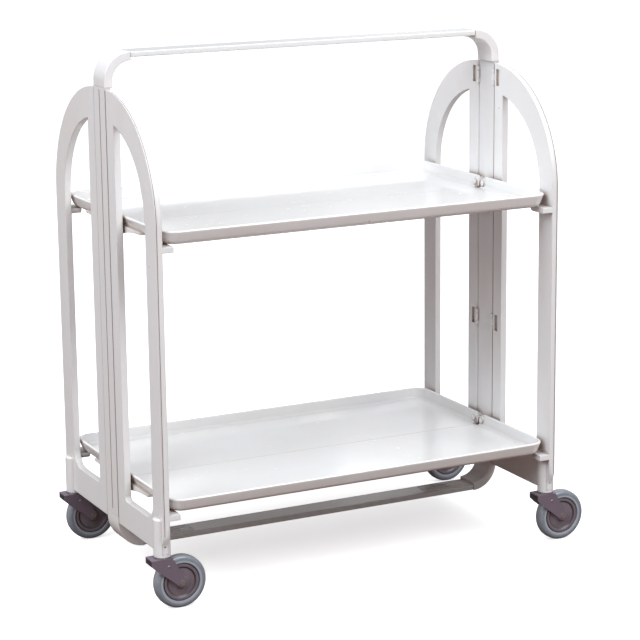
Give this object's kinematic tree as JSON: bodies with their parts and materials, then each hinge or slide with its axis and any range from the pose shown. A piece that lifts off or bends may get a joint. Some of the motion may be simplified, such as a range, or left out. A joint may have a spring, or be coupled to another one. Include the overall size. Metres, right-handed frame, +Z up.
{
  "type": "folding serving trolley",
  "caption": "Folding plastic serving trolley: loop frame with top handle, arched hinged leg frames, folding half-tray shelves and swivel casters.",
  "frame": {"origin": "floor level, at the middle of the footprint with the casters trailing towards +X", "axes": "+X along the handle towards the end the casters trail to, +Y across to the rear side, +Z up"},
  "size_m": [0.741, 0.397, 0.795],
  "materials": {
    "frame_plastic": "satin moulded, warm off-white",
    "rail_plastic": "gloss, cool white",
    "tray_plastic": "gloss moulded, white",
    "bright_steel": "zinc plated",
    "fork_steel": "mauve-grey, semi-gloss",
    "hub_plastic": "mauve-grey moulded",
    "tyre_rubber": "blue-grey rubber"
  },
  "bodies": {
    "frame": {"left_post": "frame_plastic", "right_post": "frame_plastic", "top_left_corner": "frame_plastic", "top_right_corner": "frame_plastic", "bottom_left_corner": "frame_plastic", "bottom_right_corner": "frame_plastic", "handle_rail": "rail_plastic", "bottom_rail": "rail_plastic", "front_left_leg_frame": "frame_plastic", "front_right_leg_frame": "frame_plastic", "rear_left_leg_frame": "frame_plastic", "rear_right_leg_frame": "frame_plastic", "front_left_hinge_pins": "bright_steel", "front_right_hinge_pins": "bright_steel", "rear_left_hinge_pins": "bright_steel", "rear_right_hinge_pins": "bright_steel", "upper_left_bracket": "frame_plastic", "upper_right_bracket": "frame_plastic", "lower_left_bracket": "frame_plastic", "lower_right_bracket": "frame_plastic", "tray_pivot_pins": "tray_plastic", "bracket_screws": "bright_steel", "rail_screws": "bright_steel", "front_left_socket": "bright_steel", "front_right_socket": "bright_steel", "rear_left_socket": "bright_steel", "rear_right_socket": "bright_steel", "front_left_stem": "bright_steel", "front_right_stem": "bright_steel", "rear_left_stem": "bright_steel", "rear_right_stem": "bright_steel", "socket_pins": "bright_steel"},
    "upper_front_shelf": {"upper_front_tray": "tray_plastic"},
    "upper_rear_shelf": {"upper_rear_tray": "tray_plastic"},
    "lower_front_shelf": {"lower_front_tray": "tray_plastic"},
    "lower_rear_shelf": {"lower_rear_tray": "tray_plastic"},
    "front_left_swivel": {"front_left_fork": "fork_steel", "front_left_race": "bright_steel", "front_left_axle": "bright_steel"},
    "front_left_wheel": {"front_left_hub": "hub_plastic", "front_left_tyre": "tyre_rubber"},
    "front_right_swivel": {"front_right_fork": "fork_steel", "front_right_race": "bright_steel", "front_right_axle": "bright_steel"},
    "front_right_wheel": {"front_right_hub": "hub_plastic", "front_right_tyre": "tyre_rubber"},
    "rear_left_swivel": {"rear_left_fork": "fork_steel", "rear_left_race": "bright_steel", "rear_left_axle": "bright_steel"},
    "rear_left_wheel": {"rear_left_hub": "hub_plastic", "rear_left_tyre": "tyre_rubber"},
    "rear_right_swivel": {"rear_right_fork": "fork_steel", "rear_right_race": "bright_steel", "rear_right_axle": "bright_steel"},
    "rear_right_wheel": {"rear_right_hub": "hub_plastic", "rear_right_tyre": "tyre_rubber"}
  },
  "joints": [
    {"name": "upper_front_fold", "type": "hinge", "parent": "frame", "child": "upper_front_shelf", "pos_m": [-0.0225, -0.012, 0.55], "axis": [-1, 0, 0], "range_deg": [0, 90]},
    {"name": "upper_rear_fold", "type": "hinge", "parent": "frame", "child": "upper_rear_shelf", "pos_m": [-0.0225, 0.012, 0.55], "axis": [1, 0, 0], "range_deg": [0, 90]},
    {"name": "lower_front_fold", "type": "hinge", "parent": "frame", "child": "lower_front_shelf", "pos_m": [-0.0225, -0.012, 0.158], "axis": [-1, 0, 0], "range_deg": [0, 90]},
    {"name": "lower_rear_fold", "type": "hinge", "parent": "frame", "child": "lower_rear_shelf", "pos_m": [-0.0225, 0.012, 0.158], "axis": [1, 0, 0], "range_deg": [0, 90]},
    {"name": "front_left_swivel_turn", "type": "hinge", "parent": "frame", "child": "front_left_swivel", "pos_m": [-0.3495, -0.1795, 0.079], "axis": [0, 0, 1], "continuous": true},
    {"name": "front_left_wheel_spin", "type": "hinge", "parent": "front_left_swivel", "child": "front_left_wheel", "pos_m": [-0.3235, -0.1795, 0.04], "axis": [0, 1, 0], "continuous": true},
    {"name": "front_right_swivel_turn", "type": "hinge", "parent": "frame", "child": "front_right_swivel", "pos_m": [0.3045, -0.1795, 0.079], "axis": [0, 0, 1], "continuous": true},
    {"name": "front_right_wheel_spin", "type": "hinge", "parent": "front_right_swivel", "child": "front_right_wheel", "pos_m": [0.3305, -0.1795, 0.04], "axis": [0, 1, 0], "continuous": true},
    {"name": "rear_left_swivel_turn", "type": "hinge", "parent": "frame", "child": "rear_left_swivel", "pos_m": [-0.3495, 0.1795, 0.079], "axis": [0, 0, 1], "continuous": true},
    {"name": "rear_left_wheel_spin", "type": "hinge", "parent": "rear_left_swivel", "child": "rear_left_wheel", "pos_m": [-0.3235, 0.1795, 0.04], "axis": [0, 1, 0], "continuous": true},
    {"name": "rear_right_swivel_turn", "type": "hinge", "parent": "frame", "child": "rear_right_swivel", "pos_m": [0.3045, 0.1795, 0.079], "axis": [0, 0, 1], "continuous": true},
    {"name": "rear_right_wheel_spin", "type": "hinge", "parent": "rear_right_swivel", "child": "rear_right_wheel", "pos_m": [0.3305, 0.1795, 0.04], "axis": [0, 1, 0], "continuous": true}
  ]
}
